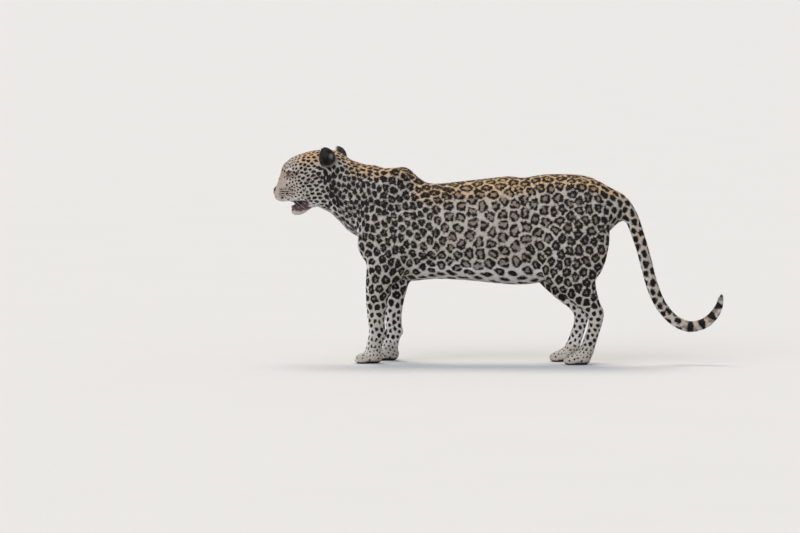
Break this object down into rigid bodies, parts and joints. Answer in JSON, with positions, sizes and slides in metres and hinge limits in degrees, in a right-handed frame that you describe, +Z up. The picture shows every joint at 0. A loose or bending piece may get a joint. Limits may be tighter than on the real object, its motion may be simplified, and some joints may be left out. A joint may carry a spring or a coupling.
{
  "type": "leopard",
  "caption": "Life-size still model of a standing leopard in side view, head level, mouth a little open, tail hanging down and curled up at its end.",
  "frame": {"origin": "on the floor below the middle of the bounding box", "axes": "+X from head to tail, +Y to the animal's right side, +Z up"},
  "size_m": [1.542, 0.2618, 0.7327],
  "materials": {
    "coat": "short fur, black rosettes on tawny",
    "paw_fur": "short pale fur, small black spots",
    "ear_fur": "short black fur, pale patch",
    "nose_leather": "moist, pebbled",
    "eye": "glossy, amber iris, round pupil"
  },
  "bodies": {
    "root": {"head": "coat", "nose": "nose_leather", "eye_left": "eye", "eye_right": "eye", "ear_left": "ear_fur", "ear_right": "ear_fur", "neck": "coat", "torso": "coat", "foreleg_left": "coat", "foreleg_right": "coat", "forepaw_left": "paw_fur", "forepaw_right": "paw_fur", "hindleg_left": "coat", "hindleg_right": "coat", "hindpaw_left": "paw_fur", "hindpaw_right": "paw_fur", "tail_root": "coat", "tail_middle": "coat", "tail_end": "coat"}
  },
  "joints": []
}
